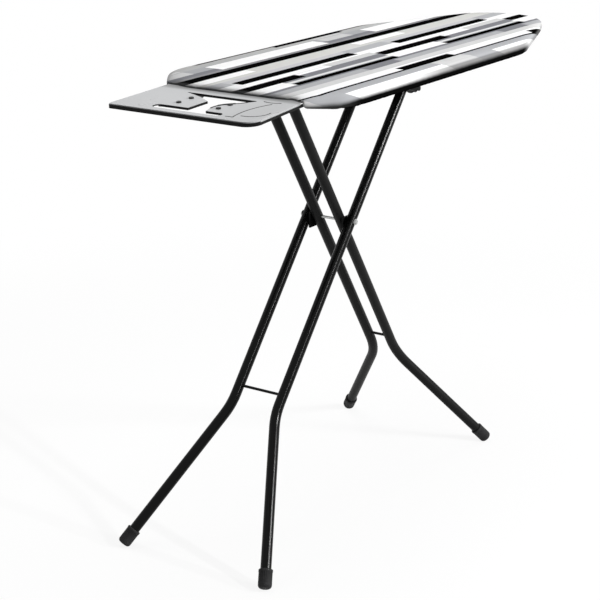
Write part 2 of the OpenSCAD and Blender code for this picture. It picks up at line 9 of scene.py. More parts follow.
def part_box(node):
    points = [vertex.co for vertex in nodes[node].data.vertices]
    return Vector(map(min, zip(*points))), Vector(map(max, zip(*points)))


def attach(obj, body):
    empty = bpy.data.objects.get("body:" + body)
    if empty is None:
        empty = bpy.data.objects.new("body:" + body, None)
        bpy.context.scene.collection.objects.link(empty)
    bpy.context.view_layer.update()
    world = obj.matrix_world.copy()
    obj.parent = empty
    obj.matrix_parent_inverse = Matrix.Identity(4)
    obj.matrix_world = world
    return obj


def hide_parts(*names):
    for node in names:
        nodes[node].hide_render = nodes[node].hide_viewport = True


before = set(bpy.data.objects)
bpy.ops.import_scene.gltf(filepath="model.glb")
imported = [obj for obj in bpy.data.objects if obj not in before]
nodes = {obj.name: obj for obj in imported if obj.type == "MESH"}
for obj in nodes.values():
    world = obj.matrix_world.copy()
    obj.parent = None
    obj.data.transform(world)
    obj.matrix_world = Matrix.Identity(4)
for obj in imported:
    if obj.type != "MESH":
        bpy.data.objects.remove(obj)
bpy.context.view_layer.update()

# ---------- camera ----------
# A long lens a little above the board, looking along it from the heel end and slightly to one side.
# Its place is in metres, its turn in degrees, its lens in millimetres.
camera = bpy.data.objects.new("camera", bpy.data.cameras.new("camera"))
bpy.context.scene.collection.objects.link(camera)
camera.location = (-3.0433, -1.7948, 1.5321)
camera.rotation_euler = (math.radians(72.33), math.radians(-0.22), math.radians(-56.97))
camera.data.sensor_width = 36
camera.data.lens = 98.19
camera.data.shift_x = -0.0031
camera.data.shift_y = -0.0176
camera.data.clip_end = 60
bpy.context.scene.camera = camera

# ---------- steam deck ----------
# The board's body is one sheet of steel, punched with rows of steam holes and powder coated pale grey.
# It carries the felt above and is gripped round its edge by the rim.


class Wire:
    """A socket in a finish; arithmetic and comparisons on it add Math nodes."""

    def __init__(self, tree, socket):
        self.tree, self.socket = tree, socket

    def node(self, kind, settings=None, sockets=None, out=0):
        """Any shader node: first its settings are made, then its sockets get values or wires."""
        made = self.tree.nodes.new("ShaderNode" + kind)
        for name, value in (settings or {}).items():
            if name == "stops":
                ramp = made.color_ramp
                while len(ramp.elements) < len(value):
                    ramp.elements.new(0.5)
                for stop, (at, colour) in zip(ramp.elements, value):
                    stop.position, stop.color = at, colour
            elif name == "interpolation":
                made.color_ramp.interpolation = value
            else:
                setattr(made, name, value)
        for name, value in (sockets or {}).items():
            if isinstance(value, Wire):
                self.tree.links.new(value.socket, made.inputs[name])
            else:
                made.inputs[name].default_value = value
        return Wire(self.tree, made.outputs[out])

    def into(self, shader, name):
        self.tree.links.new(self.socket, shader.inputs[name])

    def maths(self, operation, other=0.0):
        return self.node("Math", {"operation": operation}, {0: self, 1: other})

    def mixed(self, first, second):
        """The colour that goes from first to second as this wire goes from 0 to 1."""
        return self.node("Mix", {"data_type": "RGBA"}, {0: self, 6: first, 7: second}, out=2)

    def __add__(self, other):
        return self.maths("ADD", other)

    def __mul__(self, other):
        return self.maths("MULTIPLY", other)

    def __sub__(self, other):
        return self.maths("SUBTRACT", other)

    def __rsub__(self, other):
        return self.node("Math", {"operation": "SUBTRACT"}, {0: other, 1: self})

    def __gt__(self, other):
        return self.maths("GREATER_THAN", other)

    def __lt__(self, other):
        return self.maths("LESS_THAN", other)

    __radd__, __rmul__ = __add__, __mul__


def new_finish(name, **same_everywhere):
    """A material, its Principled shader with these sockets set, and the piece's own coordinates."""
    made = bpy.data.materials.new(name)
    made.use_nodes = True
    shader = made.node_tree.nodes["Principled BSDF"]
    for socket, value in same_everywhere.items():
        shader.inputs[socket.replace("_", " ")].default_value = value
    coordinates = made.node_tree.nodes.new("ShaderNodeTexCoord")
    return made, shader, Wire(made.node_tree, coordinates.outputs["Object"])


def ink(red, green=None, blue=None):
    """A colour given as it looks, 0 to 255 a channel; one number is a grey."""
    seen = [v / 255 for v in (red, red if green is None else green, red if blue is None else blue)]
    return tuple(v / 12.92 if v <= 0.04045 else ((v + 0.055) / 1.055) ** 2.4 for v in seen) + (1.0,)


def noise(place, scale, detail=4.0, rough=0.5):
    sockets = {"Vector": place, "Scale": scale, "Detail": detail, "Roughness": rough}
    return place.node("TexNoise", None, sockets)


def bump(shader, height, depth, strength=1.0):
    sockets = {"Height": height, "Distance": depth, "Strength": strength}
    height.node("Bump", None, sockets).into(shader, "Normal")


def coated(name, low, high, rough, peel=0.00012, scale=520, **same_everywhere):
    """Powder-coated steel: two near colours in clouds, the orange peel of baked powder, a duller bloom."""
    made, shader, place = new_finish(name, **same_everywhere)
    clouds = noise(place, 9, 5)
    specks = noise(place, 1400, 2)
    (clouds * 0.75 + specks * 0.25).mixed(low, high).into(shader, "Base Color")
    (rough - 0.05 + noise(place, 26, 4) * 0.1).into(shader, "Roughness")
    bump(shader, noise(place, scale, 2) + noise(place, scale * 0.21, 2) * 0.8, peel)
    return made


def give(finish, *names):
    for name in names:
        nodes[name].data.materials.clear()
        nodes[name].data.materials.append(finish)


deck_coat = coated("deck_coat", ink(186, 187, 188), ink(203, 203, 202), 0.42, Specular_IOR_Level=0.4)
give(deck_coat, "deck")

# ---------- rim and cross rails ----------
# A rolled steel strip wraps the deck's edge, and three shallow channels are spot-welded across underneath.
# All of them are coated near-black.

rim_coat = coated("rim_coat", ink(30), ink(40, 40, 41), 0.4, Specular_IOR_Level=0.35)
give(rim_coat, "rim", "rail_heel", "rail_mid", "rail_nose")

# ---------- felt pad ----------
# One layer of needled felt cut to the deck, held only by the cover that is drawn over it.
# It shows through the steam holes from below.

nose_r, shoulder_r, heel_r = 0.122, 0.165, 0.130    # the outline's corners
taper = math.radians(19.3)                          # how far the nose end's sides turn in
same_point = 1e-6                                   # closer vertices are one


def board_face(inset, height):
    """The board's outline as one face: arcs spun about the corners of one side, then mirrored."""
    low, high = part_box("cover")
    half = high.y
    nose = Vector((high.x - nose_r, 0, height))
    shoulder_y = half - shoulder_r
    shoulder_x = nose.x + (nose_r - shoulder_r - math.cos(taper) * shoulder_y) / math.sin(taper)
    shoulder = Vector((shoulder_x, shoulder_y, height))
    heel = Vector((low.x + heel_r, half - heel_r, height))
    slant = Vector((math.sin(taper), math.cos(taper), 0))
    bm = bmesh.new()
    tip = bm.verts.new((high.x - inset, 0, height))

    def turned(corner, angle, steps):
        spun = bmesh.ops.spin(bm, geom=[tip], cent=corner, axis=(0, 0, 1), angle=angle, steps=steps)
        return next(v for v in spun["geom_last"] if isinstance(v, bmesh.types.BMVert))

    def run_to(point):
        grown = bmesh.ops.extrude_vert_indiv(bm, verts=[tip])["verts"][0]
        grown.co = point
        return grown

    tip = turned(nose, math.pi / 2 - taper, 16)
    tip = run_to(shoulder + slant * (shoulder_r - inset))
    tip = turned(shoulder, taper, 6)
    tip = run_to(heel + Vector((0, heel_r - inset, 0)))
    tip = turned(heel, math.pi / 2, 20)
    run_to(Vector((low.x + inset, 0, height)))
    half_outline = bm.verts[:] + bm.edges[:]
    bmesh.ops.mirror(bm, geom=half_outline, matrix=Matrix.Identity(4), merge_dist=same_point, axis="Y")
    bmesh.ops.remove_doubles(bm, verts=bm.verts, dist=same_point)
    face = bmesh.ops.contextual_create(bm, geom=bm.edges[:])["faces"][0]
    if face.normal.z < 0:
        face.normal_flip()
    return bm, face


def raised(bm, grown, height):
    """Lifts what an extrusion has grown, or lowers it."""
    points = [v for v in grown["geom"] if isinstance(v, bmesh.types.BMVert)]
    bmesh.ops.translate(bm, vec=(0, 0, height), verts=points)


def board_slab(inset, z0, z1, edge, segments):
    """A slab of the board's outline from z0 to z1 with rounded edges."""
    bm, face = board_face(inset, z0)
    raised(bm, bmesh.ops.extrude_face_region(bm, geom=[face]), z1 - z0)
    bmesh.ops.recalc_face_normals(bm, faces=bm.faces)
    rims = [e for e in bm.edges if abs(e.verts[0].co.z - e.verts[1].co.z) < same_point]
    bmesh.ops.bevel(
        bm, geom=rims, offset=edge, affect="EDGES", segments=segments, profile=0.5, material=-1)
    return bm


def finished(bm, name, body, finish, smooth=True):
    """Turns a bmesh into a piece that rides on a body with its finish."""
    mesh = bpy.data.meshes.new(name)
    bm.to_mesh(mesh)
    bm.free()
    for face in mesh.polygons:
        face.use_smooth = smooth
    mesh.materials.append(finish)
    piece = bpy.data.objects.new(name, mesh)
    bpy.context.scene.collection.objects.link(piece)
    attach(piece, body)
    return piece


def stretched(place, scale):
    """The piece's coordinates with each axis scaled."""
    return place.node("Mapping", None, {"Vector": place, "Scale": scale})


felt_finish, shader, place = new_finish(
    "felt", Roughness=1.0, Specular_IOR_Level=0.1, Sheen_Weight=0.3, Sheen_Roughness=0.6)
fibres = noise(stretched(place, (1, 2.6, 1)), 420, 6, 0.7)
felt_tone = noise(place, 30, 4) * 0.5 + fibres * 0.5
felt_tone.mixed(ink(205, 202, 194), ink(243, 241, 236)).into(shader, "Base Color")
bump(shader, fibres + noise(place, 90, 3) * 2, 0.0008)

pad_low, pad_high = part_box("pad")
pad_in, pad_edge = 0.0125, 0.002
bm = board_slab(pad_in, pad_low.z + 0.0001, pad_high.z - 0.0003, pad_edge, 3)
pad_felt = finished(bm, "pad_felt", "board", felt_finish)
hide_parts("pad")

# ---------- cover ----------
# A printed cotton cover is stretched over the felt and pulled round under the rim by a cord in its hem.
# The print is long bars in black, white and greys; round the lower edge runs a dark band, partly a black
# border and partly painted shade.

cover_low, cover_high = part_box("cover")
cloth_t = 0.0010
cover_edge = 0.0118     # radius of the cover's rounded edge
hem_in = 0.037          # how far in from the edge the hem reaches under the board
air = 4                 # pressure that fills the closed cloth
air_frames = 20         # for how many frames it does
most_blown = 0.0014     # how far the air may push a point


def swollen(piece, pressure, reach):
    """Blows the closed cloth up, and keeps only its way outwards and at most reach of it."""
    cloth = piece.modifiers.new("air", "CLOTH")
    cloth.settings.quality = 4
    cloth.settings.mass = 0.25
    cloth.settings.tension_stiffness = cloth.settings.compression_stiffness = 20
    cloth.settings.bending_stiffness = 0.6
    cloth.settings.use_pressure = True
    cloth.settings.uniform_pressure_force = pressure
    cloth.settings.effector_weights.gravity = 0
    cloth.point_cache.frame_start, cloth.point_cache.frame_end = 1, air_frames
    for moment in range(1, air_frames + 1):
        bpy.context.scene.frame_set(moment)
    blown = piece.evaluated_get(bpy.context.evaluated_depsgraph_get()).data
    before = np.array([v.co for v in piece.data.vertices])
    after = np.array([v.co for v in blown.vertices])
    piece.modifiers.remove(cloth)
    bpy.context.scene.frame_set(1)
    way = after - before
    outwards = np.array([v.normal for v in piece.data.vertices])
    way -= outwards * np.minimum(0, (way * outwards).sum(axis=1, keepdims=True))
    length = np.linalg.norm(way, axis=1, keepdims=True)
    way *= np.minimum(1, reach * np.tanh(length / reach) / np.maximum(length, 1e-9))
    piece.data.vertices.foreach_set("co", (before + way).ravel())
    piece.data.update()


def applied(piece):
    """Makes what a piece's modifiers show its mesh."""
    shown = piece.evaluated_get(bpy.context.evaluated_depsgraph_get())
    mesh = bpy.data.meshes.new_from_object(shown, depsgraph=bpy.context.evaluated_depsgraph_get())
    piece.modifiers.clear()
    piece.data = mesh


def edge_at(x, y):
    """How far along the outline a point lies, and how far in from it."""
    low, high = cover_low, cover_high
    nose = Vector((high.x - nose_r, 0))
    heel = Vector((low.x + heel_r, high.y - heel_r))
    slant = Vector((math.sin(taper), math.cos(taper)))
    point = Vector((x, abs(y)))
    nose_turn = math.atan2(point.y, x - nose.x)
    if x < heel.x and point.y > heel.y:
        inward = heel_r - (point - heel).length
        along = 2 + math.atan2(point.y - heel.y, heel.x - x) * heel_r
    elif x < heel.x - 0.05 and point.y > x - low.x - heel_r + heel.y:
        inward = heel_r - (low.x + heel_r - x)
        along = 5 + point.y
    elif (point - nose).dot(slant) > 0 and nose_turn < math.pi / 2 - taper:
        inward = nose_r - (point - nose).length
        along = nose_turn * nose_r
    else:
        inward = min(nose_r - (point - nose).dot(slant), high.y - point.y)
        along = 1 - x
    return (along if y >= 0 else -along), inward


bm = board_slab(0.0003, cover_low.z - 0.0006, cover_high.z - 0.0009, cover_edge, 6)
cover_cloth = finished(bm, "cover_cloth", "board", felt_finish)
remesh = cover_cloth.modifiers.new("even", "REMESH")
remesh.mode, remesh.voxel_size, remesh.use_smooth_shade = "VOXEL", 0.0048, True
applied(cover_cloth)
swollen(cover_cloth, air, most_blown)

# the hem gathers: small tucks square to the edge, tightest round the nose and the heel corners
tuck_depth, tucked_h, tucked_fade = 0.0006, 0.017, 0.012
for point in cover_cloth.data.vertices:
    x, y, z = point.co
    low_share = max(0.0, min(1.0, (cover_low.z + tucked_h - z) / tucked_fade))
    if low_share == 0:
        continue
    along, inward = edge_at(x, y)
    by_nose = x > cover_high.x - 0.17
    by_heel_corner = x < cover_low.x + heel_r and abs(y) > cover_high.y - heel_r
    tightness = 1.0 if by_nose or by_heel_corner else 0.35
    tuck = math.sin(along * 260 + 2.2 * math.sin(along * 61) + 0.8 * math.sin(along * 23 + 1))
    depth = tuck_depth * tightness * low_share * (0.6 + 0.4 * math.sin(along * 37)) * tuck
    point.co += point.normal * depth if inward < 0.03 else Vector((0, 0, -abs(depth) * 0.6))

walls = cover_cloth.modifiers.new("thickness", "SOLIDIFY")
walls.thickness, walls.offset = cloth_t, -1


def cutter(bm, name):
    """A shape that is only cut away from another piece."""
    mesh = bpy.data.meshes.new(name)
    bmesh.ops.recalc_face_normals(bm, faces=bm.faces)
    bm.to_mesh(mesh)
    bm.free()
    shape = bpy.data.objects.new(name, mesh)
    bpy.context.scene.collection.objects.link(shape)
    return shape


def cut_away(piece, shape):
    cut = piece.modifiers.new("cut", "BOOLEAN")
    cut.operation, cut.object, cut.solver = "DIFFERENCE", shape, "EXACT"
    applied(piece)
    bpy.data.objects.remove(shape)


bm, face = board_face(hem_in, cover_low.z - 0.01)
raised(bm, bmesh.ops.extrude_face_region(bm, geom=[face]), 0.02)
cut_away(cover_cloth, cutter(bm, "hem_opening"))

# the iron rest leaves through a window in the heel end
window_half, window_long, window_deep = 0.1612, 0.10, 0.06
window_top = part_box("rest_plate")[1].z + 0.0012
bm = bmesh.new()
bmesh.ops.create_cube(bm, size=1)
bmesh.ops.scale(bm, vec=(window_long, 2 * window_half, window_deep), verts=bm.verts)
bmesh.ops.translate(bm, vec=(cover_low.x + 0.04, 0, window_top - 0.03), verts=bm.verts)
cut_away(cover_cloth, cutter(bm, "heel_window"))
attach(cover_cloth, "board")

# beside the window the cut cloth stands off the corner of the board, pushed out by the rest's frame
heel_zone = 0.08                        # how far from the heel the window's edges reach
flare_mid, flare_wide = 0.163, 0.032    # across the board: its middle, and how far it fades to each side
far_share = 0.45                        # the far side stands off less
for point in cover_cloth.data.vertices:
    x, y, z = point.co
    beside = 1 - min(1.0, abs(abs(y) - flare_mid) / flare_wide)
    if beside > 0 and x < cover_low.x + heel_zone:
        below = max(0.0, min(1.0, (cover_high.z - z) / 0.008))
        low_down = max(0.0, min(1.0, (cover_low.z + 0.016 - z) / 0.016))
        push = beside**2 * (3 - 2 * beside) * below**2 * (3 - 2 * below)
        if y > 0:
            push *= far_share
        point.co += Vector((-0.021 + 0.007 * low_down, 0, 0.0045 * low_down)) * push

cotton, shader, place = new_finish("printed_cotton", Roughness=0.95, Specular_IOR_Level=0.0)
along, across, height = (place.node("SeparateXYZ", None, {0: place}, out=k) for k in range(3))


def eased(value, first, last, start=0.0, end=1.0):
    """A soft step from start to end as value goes from first to last."""
    sockets = {"Value": value, "From Min": first, "From Max": last, "To Min": start, "To Max": end}
    return value.node("MapRange", {"interpolation_type": "SMOOTHSTEP"}, sockets)


# the bars were printed askew to the pull of the cloth, so they run on over the edge at a slant
fallen = cover_high.z - height
bleed = noise(place, 260, 3) * 0.0008 - 0.0004
slant = eased(along, -0.503, -0.480, 3.06, 1.69)
across_print = across + fallen * slant * eased(across, 0.17, 0.21, -1.0, 1.0) + bleed
repeat, print_start = 0.608, 0.525      # the print's length before it begins again, and where it begins
slipped = along + fallen * eased(along, 0.60, 0.67, -2.6, 2.6) + bleed * 1.5
along_print = (slipped + (print_start + 2 * repeat)).maths("MODULO", repeat)


def between(value, first, last):
    """1 where a value lies between two others; first above last wraps round the repeat."""
    if first > last:
        return 1 - (value > last) * (value < first)
    return (value > first) * (value < last)


white, warm, mid = ink(253), ink(215, 215, 212), ink(180, 181, 184)
dark, black = ink(134, 135, 140), ink(4)
# each band of the print across the board, in mm from the centre line: where it ends, and its ground
grounds = [
    (-208, mid), (-183, mid), (-175, black), (-148, white), (-122, ink(215)), (-100, mid), (-85, dark),
    (-73, mid), (-63, ink(226)), (-60, mid), (-35, dark), (-24, ink(214)), (12, white),
    (45, ink(203, 203, 205)), (60, warm), (88, warm), (115, black), (127, ink(150, 150, 152)),
    (145, dark), (175, ink(176, 177, 180)), (199, ink(187)), (224, black), (240, ink(186))
]
print_half = 0.240                      # the print's table ends this far from the centre line
starts = [-240] + [end for end, _ in grounds[:-1]]
stops = [((start + 240) / 480, colour) for start, (_, colour) in zip(starts, grounds)]
print_colour = across_print.node(
    "ValToRGB", {"stops": stops, "interpolation": "CONSTANT"},
    {0: (across_print + print_half) * (1 / (2 * print_half))})
# bars laid over the grounds, in mm: across from and to, along from and to within the repeat, and colour
bars = [
    (-300, -208, 75, 455, white), (-208, -182, 455, 590, ink(214)), (-300, -208, 455, 588, ink(206)),
    (-182, -155, 355, 575, black), (-122, -96, 315, 445, dark), (-93, -75, 95, 485, black),
    (-88, -53, 487, 95, white), (-53, -24, 495, 181, black), (-36, -24, 181, 305, white),
    (-24, -10, 305, 495, ink(216)), (-1, 25, 35, 465, black), (12, 45, 465, 27, ink(185, 186, 189)),
    (60, 86, 575, 170, white), (128, 173, 150, 555, white), (145, 175, 575, 77, ink(208)),
    (178, 199, 575, 77, ink(210)), (190, 224, 437, 105, black)
]
for y0, y1, x0, x1, colour in bars:
    bar = between(across_print, y0 / 1000, y1 / 1000) * between(along_print, x0 / 1000, x1 / 1000)
    print_colour = bar.mixed(print_colour, colour)
# by the far heel corner the outermost band is plain grey
print_colour = ((across_print > 0.190) * (along < -0.365)).mixed(print_colour, ink(184))
# the dark band on the side is partly a black border and partly painted shade on the lower turn of the
# edge;
# it is soft where it begins, narrow and painted lighter grey round the heel corners, and pale grey at the
# nose; above it painted shade darkens the turn of the edge from the middle to the nose's taper
waver = noise(place, 60, 2) * 0.0012 - 0.0006
corner = eased(along, -0.465, -0.405, 1.0, 0.0)
rise = waver - eased(along, 0.15, 0.45) * 0.0012
border_and_shade = eased(height + rise, 0.9328 - corner * 0.0068, 0.9432 - corner * 0.0052, 1.0, 0.0)
painted_edge_shade = eased(along, -0.30, -0.02) * eased(height, 0.9442, 0.9482, 0.8, 0.0)
before_nose = 1 - eased(along, 0.29, 0.37)
print_colour = (painted_edge_shade * before_nose).mixed(print_colour, ink(120))
print_colour = (border_and_shade * (1 - before_nose) * 0.6).mixed(print_colour, ink(120))
print_colour = (border_and_shade * before_nose).mixed(print_colour, corner.mixed(ink(6), ink(48)))
off_centre = across.maths("ABSOLUTE")
# painted shade greys the heel end of the cover above the iron rest
heel_end = eased(along, -0.505, -0.495, 1.0, 0.0) * eased(off_centre, 0.140, 0.155, 1.0, 0.0)
print_colour = (heel_end * eased(height + waver, 0.9395, 0.9490, 0.85, 0.0)).mixed(print_colour, ink(122))
bottom_line = eased(height, 0.9212, 0.9245, 1.0, 0.0)
print_colour = (bottom_line * before_nose).mixed(print_colour, ink(8))
# threads: a plain weave, with the paler and darker picks of spun cotton
laid = place.node("CombineXYZ", None, {0: along - fallen, 1: across - fallen})


def threads(place, direction, **sockets):
    """Bands that run square to a direction."""
    settings = {"wave_type": "BANDS", "bands_direction": direction}
    return place.node("TexWave", settings, {"Vector": place, **sockets})


warp, weft = (threads(laid, axis, Scale=330, Distortion=0.6, Detail=1) for axis in "XY")
slubs = noise(stretched(place, (1, 14, 1)), 60, 3)
worn = slubs * 0.5 + noise(place, 14, 4) * 0.3 + warp * weft * 0.2
greyed = print_colour.node(
    "Mix", {"data_type": "RGBA", "blend_type": "MULTIPLY"},
    {0: 1.0, 6: print_colour, 7: ink(226, 226, 227)}, out=2)
worn_print = (worn * 0.5).mixed(print_colour, greyed)
(worn * 0.004).mixed(worn_print, ink(200)).into(shader, "Base Color")
bump(shader, warp + weft + slubs * 1.5, 0.00022, 0.8)
cover_cloth.data.materials.clear()
cover_cloth.data.materials.append(cotton)
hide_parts("cover")

# ---------- draw cord ----------
# A white braided cotton cord lies in the edge of the hem all round and is drawn tight at the heel.
# Its two ends stop beside the iron rest.

cord_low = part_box("hem_cord")[0]
cord_r, cord_gap = 0.00165, 0.0019      # the gap is from the hem's edge to the cord's middle
cord_finish, shader, place = new_finish(
    "braided_cord", Roughness=0.95, Specular_IOR_Level=0.15, Sheen_Weight=0.2)
plait_a = threads(place, "DIAGONAL", Scale=260, Distortion=1.0)
plait_b = threads(stretched(place, (-1, 1, 1)), "DIAGONAL", Scale=260, Distortion=1.0)
plait = plait_a.maths("MAXIMUM", plait_b)
cord_tone = plait * 0.7 + noise(place, 500, 3) * 0.3
cord_tone.mixed(ink(176, 174, 168), ink(236, 235, 230)).into(shader, "Base Color")
bump(shader, plait, 0.0005)

bm, face = board_face(hem_in + cord_gap, cord_low.z + cord_gap)
path = [v.co.copy() for v in face.verts]
bm.free()
line = bpy.data.curves.new("draw_cord", "CURVE")
line.dimensions = "3D"
line.bevel_depth, line.bevel_resolution = cord_r, 3
line.use_fill_caps = True
in_window = [p.x < cover_low.x + heel_zone and abs(p.y) < window_half for p in path]
first = next(k for k in range(len(path)) if in_window[k - 1] and not in_window[k])
clear = [path[k % len(path)] for k in range(first, first + len(path)) if not in_window[k % len(path)]]
spline = line.splines.new("POLY")
spline.points.add(len(clear) - 1)
for point, at in zip(spline.points, clear):
    point.co = (*at, 1)
line.materials.append(cord_finish)
draw_cord = bpy.data.objects.new("draw_cord", line)
bpy.context.scene.collection.objects.link(draw_cord)
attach(draw_cord, "board")
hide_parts("hem_cord")

# ---------- heel bracket, height racks and lever arm ----------
# Pressed steel parts riveted under the deck: two ears for the inner legs' rod, and two slotted cheeks
# in which the outer legs' rod slides from notch to notch. Satin black powder coat.

satin_black = coated("satin_black", ink(8), ink(14), 0.45, Specular_IOR_Level=0.12)
give(satin_black, "heel_bracket", "rack_near", "rack_far", "lever_arm", "lever_pin")

# ---------- rods, nuts, rivets, pins and screws ----------
# Bright zinc-plated steel: turned rods held by pressed push nuts, and tinned rivets. The lever's
# return spring is drawn steel wire, wound round the lever's pin.

zinc, shader, place = new_finish("bright_zinc", Metallic=1.0)
streaks = noise(stretched(place, (1, 0.12, 1)), 900, 3)
zinc_tone = noise(place, 45, 4) * 0.7 + streaks * 0.3
zinc_tone.mixed(ink(150, 151, 152), ink(215, 216, 214)).into(shader, "Base Color")
(streaks * 0.2 + 0.24).into(shader, "Roughness")
bump(shader, streaks, 0.00005)
give(zinc, "hinge_rod", "hinge_nuts", "pivot_axle", "pivot_nuts", "slide_rod", "slide_nuts")
give(zinc, "bracket_rivets", "rack_rivets", "rest_screws")

spring_wire, shader, place = new_finish("spring_wire", Metallic=1.0)
drawn = noise(place, 700, 3)
drawn.mixed(ink(112, 112, 114), ink(165, 165, 166)).into(shader, "Base Color")
(drawn * 0.2 + 0.3).into(shader, "Roughness")
bump(shader, drawn, 0.00003)
give(spring_wire, "lever_spring")

# ---------- lever grip, tube plugs, pivot spacers and washers ----------
# Injection-moulded black plastic with a fine spark-eroded grain; the washers are black nylon.
# The grip and the plugs are pressed on and in, the spacers and washers sit loose on their rods.


def moulded(name, low, high, rough, grain):
    """Moulded plastic between two near colours, with its grain this deep."""
    made, shader, place = new_finish(name, Specular_IOR_Level=0.12)
    eroded = noise(place, 1500, 2)
    (noise(place, 40, 3) * 0.6 + eroded * 0.4).mixed(low, high).into(shader, "Base Color")
    (rough - 0.06 + eroded * 0.12).into(shader, "Roughness")
    bump(shader, eroded + noise(place, 300, 2) * 0.6, grain)
    return made


grip_plastic = moulded("grip_plastic", ink(3), ink(8), 0.6, 0.00015)
give(grip_plastic, "lever_grip", "inner_plugs", "outer_plugs", "pivot_spacers")
washer_nylon = moulded("washer_nylon", ink(16), ink(24), 0.5, 0.00006)
give(washer_nylon, "slide_washers")

# ---------- iron rest ----------
# A pressed steel plate, coated light grey, with a T-shaped cut-out and six fine beads on its face.
# It stands in a black bent frame and slides under the deck, where two screws hold it.

rest_tilt = math.radians(3.1)
rest_out, rest_under = 0.1695, 0.020    # how far it stands out from the board, and reaches under it
rest_low, rest_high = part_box("rest_plate")
rest_front = Vector((rest_low.x, 0, rest_high.z - (rest_out + rest_under) * math.tan(rest_tilt)))
on_rest = Matrix.Translation(rest_front) @ Matrix.Rotation(-rest_tilt, 4, "Y")

rest_paint, shader, place = new_finish("rest_paint", Specular_IOR_Level=0.2)
tilted = {"Vector": place, "Location": rest_front, "Rotation": (0, -rest_tilt, 0)}
here = place.node("Mapping", {"vector_type": "TEXTURE"}, tilted)
inward, sideways, up = (here.node("SeparateXYZ", None, {0: here}, out=k) for k in range(3))
mottle = noise(place, 8, 4) * 0.7 + noise(place, 900, 2) * 0.3
paint = mottle.mixed(ink(178, 179, 181), ink(188, 189, 190))
# painted shade: the plate's near side is painted darker
paint = eased(sideways, -0.14, -0.02, 1.0, 0.0).mixed(paint, ink(173, 174, 175))
# painted shadow: the plate darkens where the cover's heel end stands over it
paint = eased(inward, 0.148, 0.166, 0.0, 0.6).mixed(paint, ink(95))
inner_edge = (up < -0.0002) * (sideways.maths("ABSOLUTE") < 0.150) * (inward > 0.008)
inner_edge.mixed(paint, ink(10)).into(shader, "Base Color")
(noise(place, 40, 3) * 0.1 + 0.42).into(shader, "Roughness")
bump(shader, noise(place, 480, 2) + noise(place, 110, 2), 0.0001)
give(rest_paint, "rest_plate")

frame_coat = coated("frame_coat", ink(5), ink(10), 0.4, Specular_IOR_Level=0.1)
give(frame_coat, "rest_frame")

silicone, shader, place = new_finish("silicone", Specular_IOR_Level=0.3)
soft = noise(place, 600, 2)
soft.mixed(ink(12), ink(20)).into(shader, "Base Color")
(soft * 0.1 + 0.6).into(shader, "Roughness")
bump(shader, soft, 0.0001)
give(silicone, "rest_studs")


# four of the beads are dark with painted shade, standing for the shadow beside each pressed step
painted_shade_line = coated("painted_shade_line", ink(64), ink(78), 0.5, Specular_IOR_Level=0.1)


def pressed_line(name, first, middle, last, finish, wide=0.0014, proud=0.0006):
    """A half-round bead on the plate, along the arc through three points.

    The points are in mm from the plate's front edge and from its centre line.
    """
    a, b, c = (Vector((x / 1000, y / 1000, 0)) for x, y in (first, middle, last))
    aa, bb, cc = a.length_squared, b.length_squared, c.length_squared
    d = 2 * (a.x * (b.y - c.y) + b.x * (c.y - a.y) + c.x * (a.y - b.y))
    centre = Vector((
        (aa * (b.y - c.y) + bb * (c.y - a.y) + cc * (a.y - b.y)) / d,
        (aa * (c.x - b.x) + bb * (a.x - c.x) + cc * (b.x - a.x)) / d, 0))
    sweep = (a - centre).xy.angle_signed((c - centre).xy) * -1
    bm = bmesh.new()
    ring = bmesh.ops.create_circle(bm, segments=12, radius=wide, cap_ends=True)["verts"]
    out = (a - centre).normalized()
    stand = Matrix((out, (0, 0, 1), out.cross(Vector((0, 0, 1))))).transposed().to_4x4()
    bmesh.ops.transform(bm, matrix=Matrix.Translation(a) @ stand, verts=ring)
    disc = bm.verts[:] + bm.edges[:] + bm.faces[:]
    bmesh.ops.spin(bm, geom=disc, cent=centre, axis=(0, 0, 1), angle=sweep, steps=20)
    bmesh.ops.remove_doubles(bm, verts=bm.verts, dist=same_point)
    bmesh.ops.recalc_face_normals(bm, faces=bm.faces)
    bmesh.ops.scale(bm, vec=(1, 1, proud / wide), verts=bm.verts)
    bmesh.ops.transform(bm, matrix=on_rest, verts=bm.verts)
    finished(bm, name, "board", finish)


pressed_line("rest_line_a", (21.6, -107), (66.5, -101.7), (133, -118), painted_shade_line)
pressed_line("rest_line_b", (36.6, -115), (45.5, -143), (78, -152), painted_shade_line)
pressed_line("rest_line_c", (21, -91), (21.9, -98.7), (21.6, -107), painted_shade_line)
pressed_line("rest_line_d", (145, -92), (141.6, -110), (148, -129), painted_shade_line)
pressed_line("rest_line_e", (17, 105), (24, 95.6), (47, 89), rest_paint)
pressed_line("rest_line_f", (57, 108), (70.7, 109.9), (84, 109), rest_paint)
# a low black roll lies along the inner edge of the near tab
pressed_line("rest_roll_a", (58, -31.6), (75, -31.9), (90, -36.5), frame_coat, 0.0016, 0.0012)
pressed_line("rest_roll_b", (80, -33.2), (93, -40.5), (106, -54.5), frame_coat, 0.0026, 0.0016)
pressed_line("rest_roll_c", (102, -50), (113, -60.4), (125, -69.5), frame_coat, 0.0014, 0.0010)

